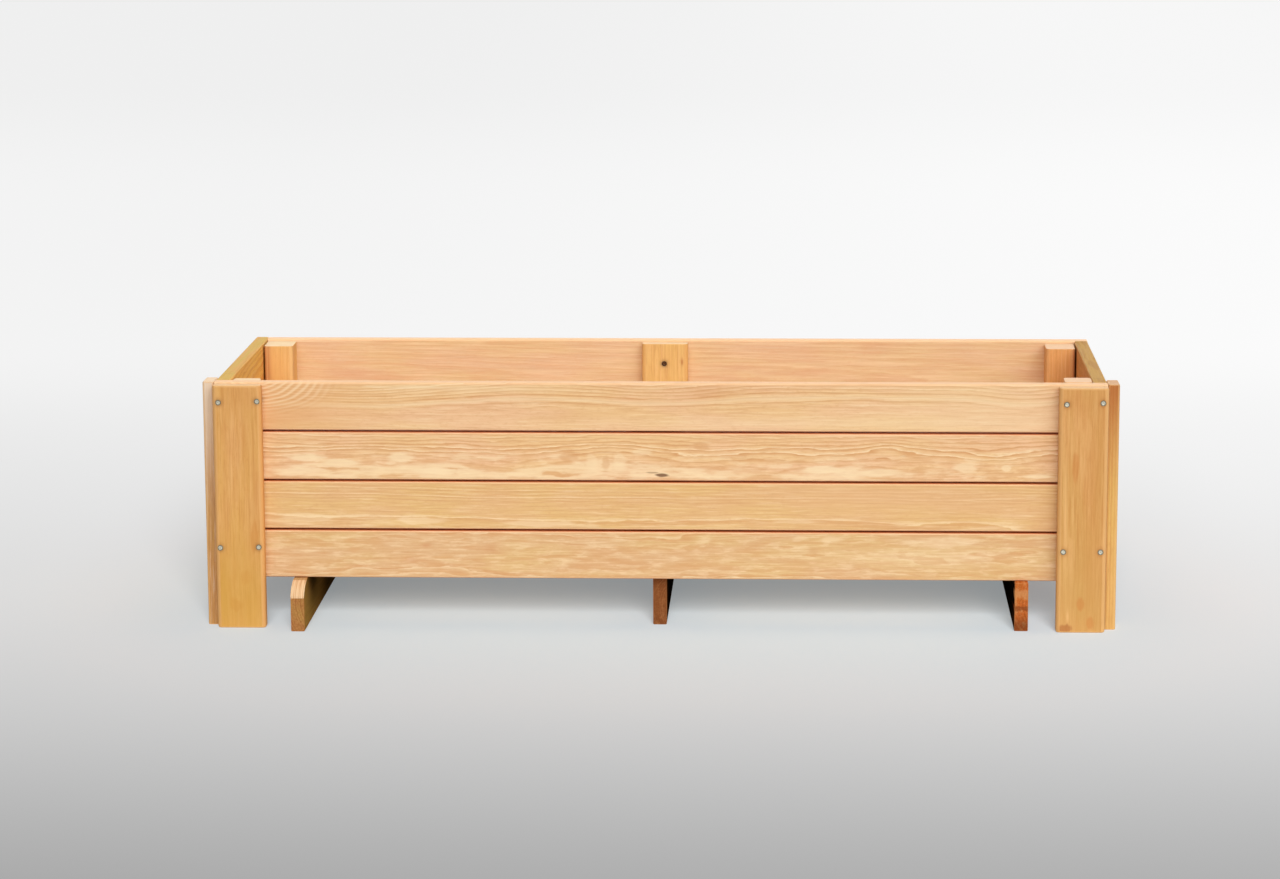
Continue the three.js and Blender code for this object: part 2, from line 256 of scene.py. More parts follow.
def wood_finish(name, kind, centre, axes, grain):
    """Timber cut from a log of its own. Lengths in the grain are millimetres from the board's middle."""
    finish = Finish(name)
    tints = {**TINTS[kind], **grain.get("tints", {})}
    along_axis, across_axis, through_axis = axes
    chance = random.Random(name)
    shift = [chance.uniform(0, 90) for _ in range(3)]

    def stretch(along_length, across_length):
        lengths = [across_length * MM] * 3
        lengths[along_axis] = along_length * MM
        return lengths

    place, normal = finish.node("ShaderNodeTexCoord", {}, {}, ("Object", "Normal"))
    parts = finish.node("ShaderNodeSeparateXYZ", {}, {0: place}, (0, 1, 2))
    facing = finish.node("ShaderNodeSeparateXYZ", {}, {0: normal}, (0, 1, 2))
    along, across, through = [(parts[axis] - centre[axis]) * 1000.0 for axis in axes]

    # The log: rings round a pith that lies beside the board, wavering and swelling round its knots.
    drift = finish.noise(place, stretch(380, 60), shift, 1.0)
    waver = finish.noise(place, stretch(95, 20), shift, 2.0)
    shiver = finish.noise(place, stretch(24, 4.5), shift, 2.0)
    pith_across, pith_through = grain["pith"]
    aside = across - pith_across
    behind = through - pith_through + along * grain.get("taper", 0.0)
    radius = finish.math("SQRT", aside * aside + behind * behind)
    far_waver, near_waver, fine_waver = grain.get("waver", (9.0, 3.0, 0.6))
    radius = radius + (drift - 0.5) * far_waver + (waver - 0.5) * near_waver
    radius = radius + (shiver - 0.5) * fine_waver
    for lift, *spot in grain.get("swells", ()):
        radius = radius + hump(finish, along, across, *spot) * lift
    figure = 1.0
    if "fade" in grain:
        plain_to, clear_from, faintest = grain["fade"]
        figure = faintest + finish.ramp(across + (drift - 0.5) * 24.0, plain_to, clear_from) * (
            1.0 - faintest)
    count = radius / grain.get("spacing", 2.6)
    ring = finish.math("FLOOR", count)
    phase = finish.math("FRACT", count)
    luck = finish.node("ShaderNodeTexWhiteNoise", {"noise_dimensions": "1D"}, {"W": ring + shift[0]})
    pale_luck = finish.node("ShaderNodeTexWhiteNoise", {"noise_dimensions": "1D"},
                            {"W": ring + shift[1]})
    late = finish.ramp(phase, 0.35, 0.92) - finish.ramp(phase, 0.93, 1.0)
    late = late * (0.3 + 0.7 * luck) * figure
    pale = (1.0 - finish.ramp(phase, 0.02, 0.34)) * finish.ramp(pale_luck, 0.3, 0.9) * figure

    # Fibres, flecks and the slow change from blush to gold along the board.
    fibre = finish.noise(place, stretch(44, 1.9), shift, 4.0, 0.62)
    streak = finish.ramp(fibre, 0.5, 0.68)
    glint = finish.ramp(fibre, 0.5, 0.32)
    grit = finish.noise(place, stretch(7, 2.2), [s + 31 for s in shift], 2.0, 0.6)
    blotch = finish.noise(place, stretch(150, 32), [s + 7 for s in shift], 2.0)
    warmth = finish.noise(place, stretch(70, 9), [s + 19 for s in shift], 2.0)

    tone = finish.mix(finish.ramp(blotch, 0.36, 0.64), tints["gold"], tints["blush"])
    tone = finish.mix(PLAIN_SHARE, tone, tints["base"])
    tone = finish.mix(late * grain.get("contrast", 0.62), tone, tints["late"])
    tone = finish.mix(finish.ramp(warmth, 0.55, 0.8) * 0.3, tone, tints["late"])
    tone = finish.mix(pale * grain.get("cream", 0.6), tone, tints["cream"])
    tone = finish.mix(glint * GLINT_SHARE, tone, tints["cream"])
    tone = finish.mix(streak * grain.get("streaks", 0.32), tone, tints["fibre"])
    tone = finish.mix(finish.ramp(grit, 0.5, 0.75) * GRIT_SHARE, tone, tints["late"])
    if "mottle" in grain:
        share, full_below, none_above, length, height = grain["mottle"]
        patch = finish.noise(place, stretch(length, height), [s + 43 for s in shift], 3.0, 0.6)
        patch = patch + (shiver - 0.5) * 0.06
        here = finish.ramp(across + (drift - 0.5) * 16.0, none_above, full_below) * share
        tone = finish.mix(finish.ramp(patch, 0.5, 0.34) * here * 0.6, tone, tints["late"])
        tone = finish.mix(finish.ramp(patch, 0.5, 0.66) * here, tone, tints["cream"])
    for tint, middle, half_width, share in grain.get("bands", ()):
        band = (radius - middle) / half_width
        tone = finish.mix(finish.math("EXPONENT", band * band * -1.0) * share, tone, tints[tint])
    # A painted shade on the side of a board that faces the given way; it also limits the shade marks to
    # that side.
    shaded = 1.0
    if "shaded_flank" in grain:
        sense, share = grain["shaded_flank"]
        shaded = finish.ramp(facing[through_axis] * sense, -0.1, 0.9)
        tone = finish.mix(shaded * share, tone, tints["shaded_flank"])
    for tint, share, sharp, *spot in grain.get("marks", ()):
        mark = hump(finish, along, across, *spot)
        if sharp:
            mark = finish.ramp(mark + (waver - 0.5) * 1.2 + (shiver - 0.5) * 0.9, 0.3, 0.75)
        tone = finish.mix(mark * share * (shaded if tint == "shade" else 1.0), tone, tints[tint])
    for tint, share, centre_along, centre_across, squash, nearest, furthest, step in grain.get(
            "fans", ()):
        reach = (along - centre_along) / squash
        rise = across - centre_across
        span = finish.math("SQRT", reach * reach + rise * rise) + (waver - 0.5) * 6.0
        turn = finish.math("FRACT", span / step)
        line = finish.ramp(turn, 0.2, 0.6) - finish.ramp(turn, 0.7, 1.0)
        here = (1.0 - finish.ramp(span, nearest, furthest)) * (0.6 + 0.6 * fibre)
        tone = finish.mix(line * here * share, tone, tints[tint])
    # A painted shade round each screw head, in the kind's knot colour, on the face that the head sits in.
    for sense, share, *spot in grain.get("rings", ()):
        on_face = finish.ramp(facing[through_axis] * sense, 0.5, 0.8)
        tone = finish.mix(hump(finish, along, across, *spot) * on_face * share, tone, tints["knot"])
    for tint, share, middle, half_width, bend in grain.get("curves", ()):
        line = (along - middle - through * through * bend) / half_width
        on_top = finish.ramp(facing[across_axis], 0.5, 0.9)
        tone = finish.mix(finish.math("EXPONENT", line * line * -1.0) * on_top * share, tone,
                          tints[tint])
    eased = finish.node("ShaderNodeAttribute", {"attribute_name": "arris"}, {}, "Fac")
    tone = finish.mix(eased * EDGE_SHARE, tone, tints["edge"])
    # Faces that look down or up into a groove between boards take a painted shade.
    below, above = grain.get("joints", (0.0, 0.0))
    for sense, share in ((-1.0, below), (1.0, above)):
        if share > 0:
            towards = finish.ramp(facing[across_axis] * sense, 0.4, 0.95)
            tone = finish.mix(towards * share, tone, tints["joint"])
    end = finish.ramp(abs(facing[along_axis]), 0.7, 0.95)
    tone = finish.mix(end * grain.get("end", 0.6), tone, tints["end"])
    # Top faces take a tone of their own: on the front and back rims a plain pale tone, partly painted
    # light on faces that look up; on the side rims an olive gold.
    top = finish.ramp(facing[across_axis], 0.5, 0.9) * grain.get("top", 0.0)
    top_tint = tints.get("top", tints["edge"])
    if "top_patch" in tints:
        top_tint = finish.mix(finish.ramp(warmth, 0.44, 0.62) * 0.7, top_tint, tints["top_patch"])
    tone = finish.mix(top, tone, top_tint)
    # The left bearer's sawn nose takes a pale cream with saw lines: partly the sawn wood's colour, partly
    # painted light on the face that turns up.
    if "nose" in grain:
        saw_lines = finish.noise(place, [1.7 * MM, 60 * MM, 60 * MM], shift, 2.0)
        nose_tone_and_light = finish.mix(finish.ramp(saw_lines, 0.4, 0.65), tints["nose"], tints["nose_line"])
        sawn = finish.ramp(facing[across_axis], 0.04, 0.12) * finish.ramp(
            facing[along_axis] * -1.0, 0.05, 0.3)
        tone = finish.mix(sawn * grain["nose"], tone, nose_tone_and_light)

    height = late * 0.5 + streak * -0.6 + (shiver - 0.5) * 0.6
    relief = finish.node("ShaderNodeBump", {}, {
        "Strength": RELIEF_STRENGTH, "Distance": RELIEF_DEPTH, "Height": height})
    roughness = 0.6 + streak * 0.12 - late * 0.08
    return finish.surface({"Base Color": tone, "Roughness": roughness, "Normal": relief},
                          {"Specular IOR Level": grain.get("shine", 0.28)})


def steel_finish(name, bright, dull, rim_shade):
    """Zinc-plated steel, a little dull and stained, with a painted shade round the rim of the head."""
    finish = Finish(name)
    place = finish.node("ShaderNodeTexCoord", {}, {}, "Object")
    cloud = finish.noise(place, [1.6 * MM] * 3, [3, 5, 8], 3.0, 0.6)
    fine = finish.noise(place, [0.3 * MM] * 3, [1, 2, 9], 2.0)
    head_rim_shade = finish.node("ShaderNodeAttribute", {"attribute_name": "arris"}, {}, "Fac")
    tone = finish.mix(finish.ramp(cloud, 0.35, 0.7), bright, dull)
    tone = finish.mix(head_rim_shade * 0.9, tone, rim_shade)
    relief = finish.node("ShaderNodeBump", {}, {
        "Strength": 0.2, "Distance": 0.1 * MM, "Height": fine})
    return finish.surface({"Base Color": tone, "Roughness": 0.32 + cloud * 0.25, "Normal": relief,
                           "Metallic": 0.8 - head_rim_shade * 0.6}, {})


# ---------------------------------------------------------------- shapes


def edges_along(shape, axis):
    """The edges that run parallel to an axis."""
    found = []
    for edge in shape.edges:
        run = edge.verts[1].co - edge.verts[0].co
        if abs(run[axis]) > 0.999 * run.length:
            found.append(edge)
    return found


def edges_at(shape, axis, place):
    """The edges that lie in a plane square to an axis."""
    near = 1e-6
    return [edge for edge in shape.edges
            if all(abs(vert.co[axis] - place) < near for vert in edge.verts)]


def ease(shape, edges, radius, steps):
    """Rounds edges over, and notes the new faces so that the finish can tell them."""
    eased = shape.faces.layers.float["arris"]
    made = bmesh.ops.bevel(shape, geom=edges, offset=radius, offset_type="OFFSET", segments=steps,
                           profile=0.5, affect="EDGES", material=-1, clamp_overlap=True)
    for face in made["faces"]:
        face[eased] = 1.0
        face.smooth = True


def planed(low, high, along, arris, end_arris=SAWN_END):
    """A planed board between two corners, long edges eased and the sawn ends sanded."""
    shape = bmesh.new()
    shape.faces.layers.float.new("arris")
    bmesh.ops.create_cube(shape, size=1.0)
    bmesh.ops.scale(shape, vec=high - low, verts=shape.verts)
    bmesh.ops.translate(shape, vec=(low + high) / 2, verts=shape.verts)
    ease(shape, edges_along(shape, along), arris, ARRIS_STEPS)
    for place in (low[along], high[along]):
        ease(shape, edges_at(shape, along, place), end_arris, END_STEPS)
    return shape


def sharpen(shape):
    """Marks the edges of a cut so that the shading breaks there."""
    limit = math.radians(35)
    for edge in shape.edges:
        edge.smooth = len(edge.link_faces) == 2 and edge.calc_face_angle(0.0) < limit


def to_object(name, shape):
    """Turns a worked shape into an object of the scene."""
    mesh = bpy.data.meshes.new(name)
    shape.to_mesh(mesh)
    shape.free()
    piece = bpy.data.objects.new(name, mesh)
    bpy.context.scene.collection.objects.link(piece)
    return piece


def cut(piece, cutter_shapes):
    """Cuts shapes out of a piece for good."""
    cutters = [to_object("cutter", shape) for shape in cutter_shapes]
    for cutter in cutters:
        modifier = piece.modifiers.new("cut", "BOOLEAN")
        modifier.operation = "DIFFERENCE"
        modifier.solver = "EXACT"
        modifier.object = cutter
    depsgraph = bpy.context.evaluated_depsgraph_get()
    worked = bpy.data.meshes.new_from_object(piece.evaluated_get(depsgraph))
    piece.modifiers.clear()
    piece.data = worked
    worked.name = piece.name
    for cutter in cutters:
        bpy.data.objects.remove(cutter)
    shape = bmesh.new()
    shape.from_mesh(worked)
    sharpen(shape)
    shape.to_mesh(worked)
    shape.free()


def turned(profile, head, outward):
    """A round body from a list of (radius, height), its axis pointing outward from the head."""
    shape = bmesh.new()
    shape.faces.layers.float.new("arris")
    line = [shape.verts.new((radius, 0.0, height)) for radius, height in profile]
    runs = [shape.edges.new(pair) for pair in zip(line, line[1:])]
    bmesh.ops.spin(shape, geom=line + runs, cent=(0, 0, 0), axis=(0, 0, 1), angle=math.tau,
                   steps=TURN_STEPS, use_merge=True, use_duplicate=False)
    bmesh.ops.remove_doubles(shape, verts=shape.verts, dist=WELD)
    bmesh.ops.recalc_face_normals(shape, faces=shape.faces)
    turn = Vector((0, 0, 1)).rotation_difference(outward).to_matrix().to_4x4()
    bmesh.ops.transform(shape, matrix=Matrix.Translation(head) @ turn, verts=shape.verts)
    for face in shape.faces:
        face.smooth = True
    return shape


# ---------------------------------------------------------------- pieces

pieces = {}


def finished(piece, node, material):
    """Puts a made piece in place of its CAD node."""
    piece.data.materials.clear()
    piece.data.materials.append(material)
    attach(piece, "root")
    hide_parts(node)
    pieces[piece.name] = piece
    return piece


def shade_evenly(piece):
    """Keeps the flats flat where they meet the eased edges."""
    modifier = piece.modifiers.new("even shading", "WEIGHTED_NORMAL")
    modifier.keep_sharp = True


def screw_hole(head, outward, length):
    """The countersunk hole for a screw."""
    profile = [
        (0.0, -length - HOLE_CLEARANCE),
        (SHANK_RADIUS + HOLE_CLEARANCE, -length + TIP_LENGTH),
        (SHANK_RADIUS + HOLE_CLEARANCE, -HEAD_DEPTH - HOLE_CLEARANCE),
        (HEAD_RADIUS + HOLE_CLEARANCE, -HOLE_CLEARANCE),
        (HEAD_RADIUS + HOLE_CLEARANCE, HOLE_OVERRUN),
        (0.0, HOLE_OVERRUN),
    ]
    return turned(profile, head, outward)


def screw(node, outward):
    """A countersunk screw with a square recess, made round its CAD node."""
    low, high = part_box(node)
    outward = Vector(outward)
    axis = max(range(3), key=lambda i: abs(outward[i]))
    head = (low + high) / 2
    head[axis] = high[axis] if outward[axis] > 0 else low[axis]
    length = high[axis] - low[axis]
    profile = [
        (0.0, -length),
        (0.5 * SHANK_RADIUS, -length + 0.5 * TIP_LENGTH),
        (SHANK_RADIUS, -length + TIP_LENGTH),
        (SHANK_RADIUS, -HEAD_DEPTH),
        (HEAD_RADIUS, -HEAD_RIM),
        (HEAD_RADIUS, -0.4 * HEAD_RIM),
        (HEAD_RADIUS - 0.5 * HEAD_RIM, 0.0),
        (HEAD_INNER_RADIUS, -0.3 * HEAD_RIM),
        (0.0, -0.3 * HEAD_RIM),
    ]
    shape = turned(profile, head, outward)
    # The head's outer rim is marked for the painted shade that the steel puts there.
    eased = shape.faces.layers.float["arris"]
    for face in shape.faces:
        if (face.calc_center_median() - head).length > HEAD_INNER_RADIUS:
            face[eased] = 1.0
    piece = to_object(node + "_detail", shape)
    recess = bmesh.new()
    recess.faces.layers.float.new("arris")
    bmesh.ops.create_cube(recess, size=1.0)
    size = Vector((SOCKET_WIDTH, SOCKET_WIDTH, SOCKET_WIDTH))
    size[axis] = 2 * SOCKET_DEPTH
    bmesh.ops.scale(recess, vec=size, verts=recess.verts)
    bmesh.ops.translate(recess, vec=head, verts=recess.verts)
    cut(piece, [recess])
    finished(piece, node, shade_painted_steel if node.startswith("screw_batten") else steel)
    return head, outward, length


def board(node, kind, axes, arris, grain, holes=(), end_arris=SAWN_END, worked=None):
    """A board made round its CAD node, with its own log, its edges eased and its holes drilled."""
    low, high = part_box(node)
    shape = planed(low, high, axes[0], arris, end_arris)
    if worked:
        worked(shape, low, high)
    piece = to_object(node + "_wood", shape)
    if holes:
        cut(piece, [screw_hole(*hole) for hole in holes])
    shade_evenly(piece)
    middle = (low + high) / 2
    # Each screw head gets a painted shade round it, on the face that it sits in.
    rings = []
    for head, outward, _ in holes:
        from_middle = (head - middle) / MM
        if abs(outward[axes[2]]) > 0.5:
            rings.append((outward[axes[2]], SCREW_SHADE_SHARE, from_middle[axes[0]],
                          from_middle[axes[1]], SCREW_SHADE_HALF, SCREW_SHADE_HALF))
    grain = {**grain, "rings": rings}
    material = wood_finish(node.replace("_", " "), kind, middle, axes, grain)
    return finished(piece, node, material)


PITH_ASIDE = (-40, 40)
PITH_DEPTH = (30, 80)


def plain_grain(name, **more):
    """Some log for a board whose rings the photograph doesn't show, or hardly."""
    chance = random.Random(name)
    side = chance.choice((-1, 1))
    return {
        "pith": (chance.uniform(*PITH_ASIDE), side * chance.uniform(*PITH_DEPTH)),
        "taper": chance.uniform(-0.02, 0.02),
        "spacing": chance.uniform(3.0, 4.2),
        **more,
    }


# Each steel has a dark rim tone: a painted shade round the rim of the screw head.
steel = steel_finish("zinc plated steel", colour(240, 238, 222), colour(190, 186, 166),
                     colour(112, 104, 78))
# The steel for the batten's screw is painted dark brown: a painted shade over the whole screw.
shade_painted_steel = steel_finish("steel painted in shade", colour(116, 88, 62), colour(84, 62, 42), colour(70, 46, 28))

# ---- screws first, because the boards are drilled for them ----
screws = {}
for node in sorted(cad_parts):
    if node.startswith("screw_corner") or node.startswith("screw_batten"):
        screws[node] = screw(node, (0, -1, 0))
    elif node.startswith("screw_rear"):
        screws[node] = screw(node, (0, 1, 0))
    elif node.startswith("screw_trim_left"):
        screws[node] = screw(node, (-1, 0, 0))
    elif node.startswith("screw_trim_right"):
        screws[node] = screw(node, (1, 0, 0))


def holes_for(*starts):
    """The screws whose names start so."""
    return [place for node, place in screws.items() if node.startswith(starts)]


# ---- front wall, board by board, from the bottom ----
FRONT_GRAIN = {
    1: {
        "pith": (-2, 44), "taper": 0.004, "spacing": 3.6, "waver": (16, 10, 2.2), "contrast": 0.6,
        "cream": 0.4, "joints": (0.6, 0.85), "mottle": (0.3, 40, 60, 30, 7),
        # Darker tints than the boards above: painted shade that makes the front wall darker towards the
        # bottom.
        "tints": {"base": colour(224, 183, 130), "blush": colour(226, 178, 135),
                  "gold": colour(225, 184, 119)},
        "marks": [
            ("spot", 0.35, False, -308, 12, 7, 4), ("spot", 0.35, False, -328, -8, 9, 4),
            ("spot", 0.3, False, -222, 8, 10, 5), ("spot", 0.3, False, -236, -14, 8, 3),
            ("spot", 0.3, False, 202, 8, 7, 4), ("cream", 0.4, True, 226, 22, 20, 6),
            ("cream", 0.4, True, 380, 20, 50, 9), ("cream", 0.3, False, 330, -2, 90, 12),
        ],
    },
    2: {
        "pith": (-34, 40), "taper": -0.006, "spacing": 3.2, "waver": (8, 4, 0.8), "contrast": 0.55,
        "cream": 0.55, "joints": (0.85, 0.85), "mottle": (0.35, -22, -6, 80, 8),
        # Darker tints than the boards above: painted shade that makes the front wall darker towards the
        # bottom.
        "tints": {"base": colour(230, 187, 129), "blush": colour(232, 183, 133),
                  "gold": colour(231, 189, 119)},
        "marks": [
            ("cream", 0.45, True, -318, -20, 38, 6), ("cream", 0.45, True, -158, -24, 50, 4),
            ("cream", 0.35, True, -470, -16, 40, 8), ("blush", 0.6, False, 290, 10, 140, 22),
        ],
    },
    3: {
        "pith": (-22, 42), "taper": 0.0, "spacing": 3.1, "waver": (8, 7, 2.2), "contrast": 0.9,
        "cream": 0.75, "joints": (0.85, 0.85), "fade": (-4, 8, 0.5),
        "mottle": (0.42, 0, 9, 40, 11),
        "bands": [("cream", 50.6, 0.8, 0.6), ("late", 49.2, 0.5, 0.4)],
        "swells": [
            (-3, -60, 5, 60, 16), (3, -200, 5, 60, 20), (-4, 300, 12, 30, 14), (3, 430, 5, 50, 14),
        ],
        "marks": [
            ("cream", 0.4, True, -88, -6, 10, 14), ("late", 0.4, True, -70, -6, 7, 13),
            ("cream", 0.45, True, -52, -4, 11, 14), ("cream", 0.45, True, -24, 6, 18, 6),
            ("late", 0.45, True, -118, 0, 14, 12),
            ("knot", 0.95, True, 3.5, -24, 10, 2.6), ("knot", 0.5, True, -8, -21, 8, 1.2),
            ("cream", 0.75, True, 220, -16, 40, 7), ("cream", 0.6, True, 290, -19, 34, 6),
            ("cream", 0.55, True, 400, -13, 20, 9), ("cream", 0.6, True, 454, -13, 8, 6),
            ("cream", 0.7, True, 494, -24, 26, 3), ("cream", 0.7, True, -466, -2, 26, 6),
            ("cream", 0.7, True, -420, -9, 34, 5), ("cream", 0.7, True, -340, -2, 22, 8),
            ("cream", 0.7, True, -284, -20, 44, 6), ("cream", 0.6, True, -486, -24, 20, 3),
            ("late", 0.4, True, 56, 14, 12, 6),
        ],
    },
    4: {
        "pith": (-24, 46), "taper": 0.0, "spacing": 3.2, "waver": (4, 4.0, 1.2), "contrast": 0.85,
        "cream": 1.0, "joints": (0.85, 0.0), "top": 0.8, "fade": (-8, 10, 0.1),
        "bands": [("cream", 66.0, 1.4, 0.45)],
        "swells": [(7, -13, 30, 100, 30), (16, -400, 40, 150, 40), (4, 480, 10, 60, 40)],
        "fans": [("cream", 0.6, -530, 40, 2.0, 30, 62, 4.8)],
        "tints": {"top": colour(243, 197, 149), "amber": colour(228, 166, 104),
                  "pale": colour(250, 220, 172)},
        "marks": [
            ("amber", 0.62, False, -500, 6, 90, 60), ("pale", 0.3, False, 420, 0, 150, 60),
            ("late", 0.35, True, -296, 24, 16, 3), ("cream", 0.5, True, -330, 26, 60, 3),
            ("late", 0.3, False, 66, 20, 50, 9), ("cream", 0.35, False, -240, 24, 110, 5),
            ("cream", 0.3, False, 200, -20, 300, 8), ("late", 0.2, False, -120, -12, 60, 8),
        ],
    },
}
BACK_TINTS = {
    "base": colour(234, 199, 153), "blush": colour(235, 190, 158), "gold": colour(234, 199, 143),
    "late": colour(228, 172, 124), "fibre": colour(222, 164, 120), "cream": colour(250, 218, 174),
}
SIDE_TINTS = {
    "left": {"base": colour(250, 203, 108), "blush": colour(248, 191, 104), "gold": colour(250, 208, 106),
             "late": colour(216, 140, 60),
             "top": colour(205, 167, 78), "top_patch": colour(214, 153, 84)},
    "right": {"base": colour(214, 148, 90), "blush": colour(208, 134, 82), "gold": colour(214, 156, 88),
              "top": colour(190, 148, 68), "top_patch": colour(168, 118, 42)},
}
# Dark curved lines across the tops of the side rims near their front ends.
SIDE_CURVES = {
    "left": [("knot", 0.75, -134, 1.3, 0.06), ("knot", 0.5, -118, 1.0, -0.05)],
    "right": [("knot", 0.75, -142, 1.3, 0.07), ("late", 0.5, -120, 2.0, 0.03)],
}
# Along, across and through a board, by the way that it lies.
X_BOARD = (X, Z, Y)
Y_BOARD = (Y, Z, X)
Z_FRONT = (Z, X, Y)
Z_SIDE = (Z, Y, X)
FLOOR_BOARD = (X, Y, Z)

for number, grain in FRONT_GRAIN.items():
    rows = {1: ("screw_corner_left_low", "screw_corner_right_low"),
            4: ("screw_corner_left_top", "screw_corner_right_top")}
    board(f"front_board_{number}", "wall", X_BOARD, WALL_ARRIS, grain,
          holes_for(*rows[number]) if number in rows else ())
    node = f"back_board_{number}"
    joints = (0.75, 0.75 if number < 4 else 0.0)
    board(node, "wall", X_BOARD, WALL_ARRIS,
          plain_grain(node, contrast=0.3, cream=0.3, joints=joints, tints=BACK_TINTS,
                      waver=(5, 2, 0.6), top=0.8 if number == 4 else 0.0,
                      mottle=(0.35, 40, 60, 90, 6)),
          holes_for(f"screw_batten_{number}", f"screw_rear_left_{number}",
                    f"screw_rear_right_{number}"))
    for side in ("left", "right"):
        node = f"{side}_board_{number}"
        rows = {1: f"screw_trim_{side}_low", 4: f"screw_trim_{side}_top"}
        more = {"top": 0.8, "curves": SIDE_CURVES[side]} if number == 4 else {}
        board(node, "side", Y_BOARD, WALL_ARRIS,
              plain_grain(node, joints=joints, tints=SIDE_TINTS[side], shine=0.08, **more),
              holes_for(rows[number]) if number in rows else ())

for number in range(1, 6):
    node = f"floor_board_{number}"
    board(node, "wall", FLOOR_BOARD, WALL_ARRIS, plain_grain(node))

# ---- corner boards and trims ----
CORNER_GRAIN = {
    "left": {
        "pith": (-60, 50), "spacing": 4.4, "waver": (14, 5, 1.0), "contrast": 0.32, "cream": 0.25,
        "mottle": (0.3, 60, 90, 70, 7),
        "tints": {"olive": colour(206, 155, 63), "amber": colour(230, 150, 70)},
        "marks": [
            ("spot", 0.5, True, -40, 20, 26, 7), ("spot", 0.45, True, -132, -6, 10, 12),
            ("spot", 0.35, True, -95, 8, 14, 8), ("late", 0.4, False, 40, 21, 70, 4),
            ("olive", 0.6, False, -120, -24, 70, 12), ("late", 0.35, False, 150, 4, 22, 16),
            # The full-length stripes down the edges paint the light from the right: late as a painted
            # shade down the left edge, amber as a painted highlight down the right.
            ("olive", 0.6, False, -130, 4, 100, 60), ("late", 0.6, False, 0, -30, 400, 3),
            ("amber", 0.7, False, 0, 31, 400, 2.5), ("late", 0.3, False, 90, 10, 60, 4),
        ],
    },
    "right": {
        "pith": (66, 46), "spacing": 4.6, "waver": (14, 5, 1.0), "contrast": 0.4, "cream": 0.3,
        "mottle": (0.35, 60, 90, 70, 7),
        "tints": {"knot": colour(176, 104, 50), "gold": colour(204, 157, 84)},
        "marks": [
            # The full-length stripes down the edges paint the light from the right: late as a painted
            # shade down the left edge, cream as a painted highlight down the right.
            ("gold", 0.6, False, -120, 0, 70, 60), ("late", 0.6, False, 0, -31, 400, 2.5),
            ("cream", 0.5, False, 0, 31, 400, 2.0),
            ("cream", 0.7, False, -10, -22, 60, 2.0), ("cream", 0.7, False, -141, -17, 8, 1.8),
            ("knot", 0.65, True, -157, -20, 6, 10), ("spot", 0.5, True, -125, 0, 9, 5),
            ("spot", 0.5, True, -150, 12, 8, 5), ("late", 0.4, False, 0, 14, 150, 12),
            ("late", 0.35, False, 150, -12, 24, 14), ("spot", 0.4, True, 60, -10, 20, 5),
        ],
    },
}
TRIM_GRAIN = {
    "left": {
        "spacing": 3.4, "contrast": 0.45,
        "tints": {"base": colour(204, 152, 80), "gold": colour(206, 158, 78),
                  "blush": colour(206, 148, 98), "late": colour(182, 124, 70),
                  "fibre": colour(166, 110, 60), "cream": colour(240, 218, 194)},
        "marks": [("cream", 1.0, False, 165, 0, 110, 40)],
    },
    "right": {
        "spacing": 3.4, "contrast": 0.6,
        "tints": {"base": colour(229, 187, 108), "gold": colour(229, 189, 102),
                  "blush": colour(228, 176, 104), "spot": colour(176, 92, 34)},
        "marks": [("spot", 1.0, False, 176, 0, 100, 40), ("knot", 0.5, True, 92, 4, 14, 8)],
    },
}
POST_GRAIN = {
    "left": {
        "tints": {"base": colour(238, 190, 118), "gold": colour(238, 192, 112),
                  "blush": colour(234, 170, 108), "late": colour(222, 158, 90),
                  "spot": colour(178, 78, 46),
                  "end": colour(244, 214, 168), "edge": colour(246, 204, 140)},
        "end": 0.85, "contrast": 0.3, "streaks": 0.2,
        "marks": [("spot", 1.0, False, 120, -21, 200, 8)],
    },
    "right": {
        "tints": {"base": colour(234, 171, 101), "gold": colour(234, 175, 97),
                  "blush": colour(230, 165, 101), "late": colour(212, 147, 81),
                  "end": colour(240, 200, 160), "edge": colour(236, 176, 116),
                  "knot": colour(112, 46, 24)},
        "end": 0.85, "contrast": 0.3, "streaks": 0.2,
        # A dark band down the right edge, beside the right side wall: a painted shade in that corner.
        "marks": [("knot", 0.9, False, 120, 21, 200, 4.5)],
    },
}
BATTEN_GRAIN = {
    # The small cream dot at the screw is a painted glint; the red-brown spot beside it is the wood's own.
    "marks": [("cream", 0.9, False, 87, -1, 1.6, 1.6), ("spot", 0.7, False, 95, 24, 5, 1.8)],
    "tints": {"base": colour(240, 196, 124), "gold": colour(242, 200, 118),
              "blush": colour(236, 188, 120), "late": colour(222, 166, 92),
              "end": colour(244, 206, 160), "edge": colour(232, 176, 104)},
    "end": 0.8, "contrast": 0.5, "spacing": 4.5, "waver": (10, 4, 1.0),
}
for side, grain in CORNER_GRAIN.items():
    board(f"corner_board_{side}", "corner", Z_FRONT, CORNER_ARRIS, grain,
          holes_for(f"screw_corner_{side}"), end_arris=CORNER_END)
    node = f"side_trim_{side}"
    board(node, "corner", Z_SIDE, TRIM_ARRIS, {**plain_grain(node), **TRIM_GRAIN[side]},
          holes_for(f"screw_trim_{side}"), end_arris=TRIM_END)
    node = f"post_front_{side}"
    board(node, "inner", Z_FRONT, POST_ARRIS, {**plain_grain(node), **POST_GRAIN[side]})
    node = f"post_rear_{side}"
    board(node, "inner", Z_FRONT, POST_ARRIS, {**plain_grain(node), **POST_GRAIN[side]},
          holes_for(f"screw_rear_{side}"))
for end in ("front", "back"):
    node = f"batten_{end}"
    board(node, "inner", Z_FRONT, POST_ARRIS, {**plain_grain(node), **BATTEN_GRAIN},
          holes_for("screw_batten") if end == "back" else ())

